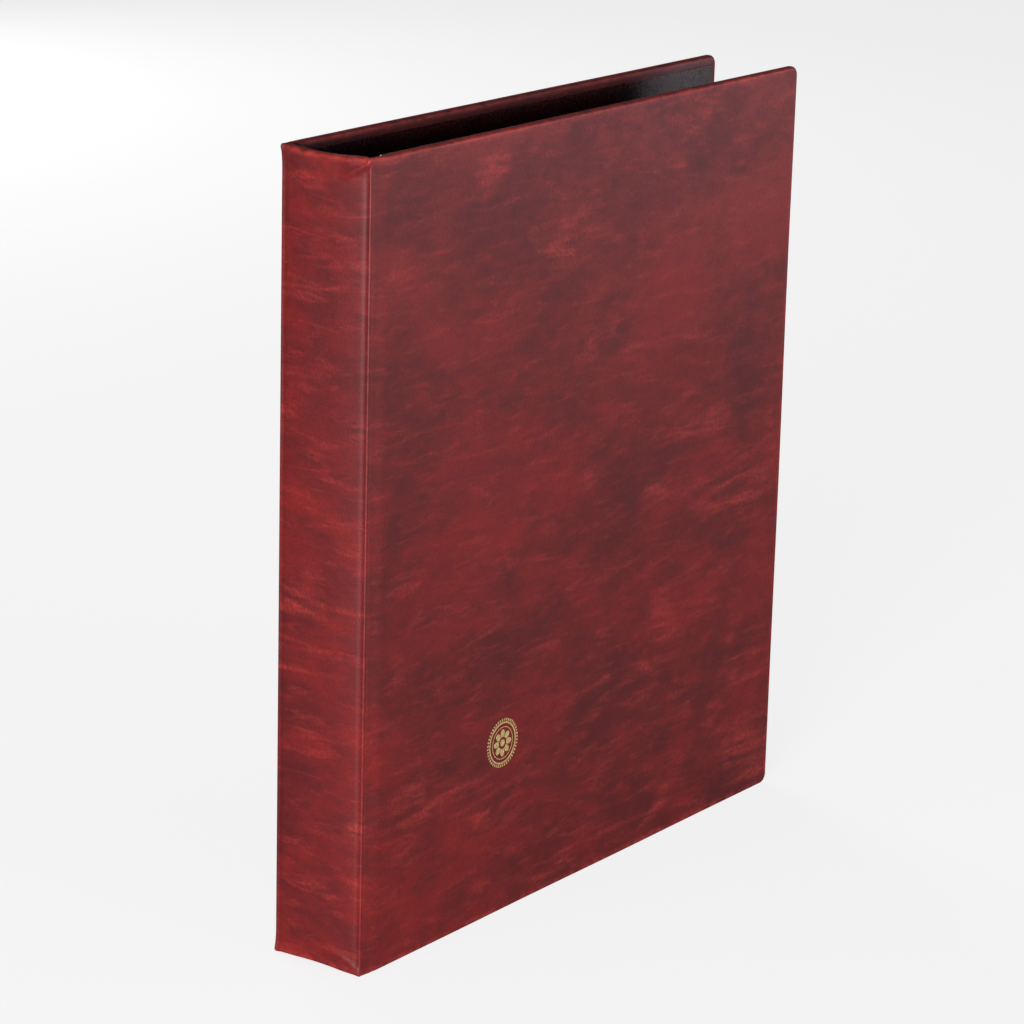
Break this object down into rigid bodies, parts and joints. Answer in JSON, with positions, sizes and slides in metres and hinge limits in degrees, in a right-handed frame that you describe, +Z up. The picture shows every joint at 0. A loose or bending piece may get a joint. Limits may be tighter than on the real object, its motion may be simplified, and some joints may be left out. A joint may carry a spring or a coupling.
{
  "type": "coin album",
  "caption": "Upright ring-binder coin album with leatherette covers, a press-lever ring mechanism on the spine, punched coin pages and interleaves.",
  "frame": {"origin": "middle of the footprint, on the surface the album stands on", "axes": "+Z up along the spine, spine faces -X, fore edge faces +X, front cover faces -Y"},
  "size_m": [0.285, 0.044, 0.315],
  "materials": {
    "leatherette": "semi-gloss marbled wine-red leatherette, fine grain",
    "lining": "smooth semi-gloss wine-red lining",
    "board": "grey binder's board",
    "nickel": "bright nickel plate",
    "film": "clear soft pocket film",
    "card": "matt black card"
  },
  "bodies": {
    "spine_case": {"spine_leatherette": "leatherette", "spine_board": "board", "spine_lining": "lining", "ring_housing": "nickel", "housing_rivet_lower": "nickel", "housing_rivet_upper": "nickel", "lower_lever_pin": "nickel", "upper_lever_pin": "nickel"},
    "front_cover": {"front_leatherette": "leatherette", "front_board": "board", "front_lining": "lining"},
    "back_cover": {"back_leatherette": "leatherette", "back_board": "board", "back_lining": "lining"},
    "front_rings": {"front_blade": "nickel", "front_half_ring_1": "nickel", "front_half_ring_2": "nickel", "front_half_ring_3": "nickel", "front_half_ring_4": "nickel"},
    "back_rings": {"back_blade": "nickel", "back_half_ring_1": "nickel", "back_half_ring_2": "nickel", "back_half_ring_3": "nickel", "back_half_ring_4": "nickel"},
    "lower_press_lever": {"lower_lever": "nickel"},
    "upper_press_lever": {"upper_lever": "nickel"},
    "sheet_interleaf_3": {"interleaf_3": "card"},
    "sheet_coin_page_3": {"coin_page_3": "film"},
    "sheet_interleaf_2": {"interleaf_2": "card"},
    "sheet_coin_page_2": {"coin_page_2": "film"},
    "sheet_interleaf_1": {"interleaf_1": "card"},
    "sheet_coin_page_1": {"coin_page_1": "film"}
  },
  "joints": [
    {"name": "front_cover_hinge", "type": "hinge", "parent": "spine_case", "child": "front_cover", "pos_m": [-0.1425, -0.022, 0.1575], "axis": [0, 0, -1], "range_deg": [0, 180]},
    {"name": "back_cover_hinge", "type": "hinge", "parent": "spine_case", "child": "back_cover", "pos_m": [-0.1425, 0.022, 0.1575], "axis": [0, 0, 1], "range_deg": [0, 180]},
    {"name": "ring_opening", "type": "hinge", "parent": "spine_case", "child": "front_rings", "pos_m": [-0.1367, -0.0108, 0.1575], "axis": [0, 0, -1], "range_deg": [0, 16]},
    {"name": "back_ring_opening", "type": "hinge", "parent": "spine_case", "child": "back_rings", "pos_m": [-0.1367, 0.0108, 0.1575], "axis": [0, 0, 1], "range_deg": [0, 16]},
    {"name": "lower_lever_press", "type": "hinge", "parent": "spine_case", "child": "lower_press_lever", "pos_m": [-0.1361, 0, 0.0205], "axis": [0, 1, 0], "range_deg": [0, 30]},
    {"name": "upper_lever_press", "type": "hinge", "parent": "spine_case", "child": "upper_press_lever", "pos_m": [-0.1361, 0, 0.2945], "axis": [0, -1, 0], "range_deg": [0, 30]},
    {"name": "interleaf_3_slide_off", "type": "hinge", "parent": "front_rings", "child": "sheet_interleaf_3", "pos_m": [-0.1265, 0, 0.1575], "axis": [0, 0, -1], "range_deg": [-16, 0]},
    {"name": "coin_page_3_turn", "type": "hinge", "parent": "sheet_interleaf_3", "child": "sheet_coin_page_3", "pos_m": [-0.1265, 0, 0.1575], "axis": [0, 0, -1], "range_deg": [0, 16.2]},
    {"name": "interleaf_2_turn", "type": "hinge", "parent": "sheet_interleaf_3", "child": "sheet_interleaf_2", "pos_m": [-0.1265, 0, 0.1575], "axis": [0, 0, -1], "range_deg": [0, 32.4]},
    {"name": "coin_page_2_turn", "type": "hinge", "parent": "sheet_interleaf_3", "child": "sheet_coin_page_2", "pos_m": [-0.1265, 0, 0.1575], "axis": [0, 0, -1], "range_deg": [0, 48.6]},
    {"name": "interleaf_1_turn", "type": "hinge", "parent": "sheet_interleaf_3", "child": "sheet_interleaf_1", "pos_m": [-0.1265, 0, 0.1575], "axis": [0, 0, -1], "range_deg": [0, 64.8]},
    {"name": "coin_page_1_turn", "type": "hinge", "parent": "sheet_interleaf_3", "child": "sheet_coin_page_1", "pos_m": [-0.1265, 0, 0.1575], "axis": [0, 0, -1], "range_deg": [0, 81]}
  ],
  "couplings": [
    {"joint": "back_ring_opening", "follows": "ring_opening", "ratio": 1},
    {"joint": "lower_lever_press", "follows": "ring_opening", "ratio": 1.875},
    {"joint": "upper_lever_press", "follows": "ring_opening", "ratio": 1.875},
    {"joint": "interleaf_3_slide_off", "follows": "ring_opening", "ratio": -1},
    {"joint": "coin_page_3_turn", "follows": "front_cover_hinge", "ratio": 0.09},
    {"joint": "interleaf_2_turn", "follows": "front_cover_hinge", "ratio": 0.18},
    {"joint": "coin_page_2_turn", "follows": "front_cover_hinge", "ratio": 0.27},
    {"joint": "interleaf_1_turn", "follows": "front_cover_hinge", "ratio": 0.36},
    {"joint": "coin_page_1_turn", "follows": "front_cover_hinge", "ratio": 0.45}
  ]
}
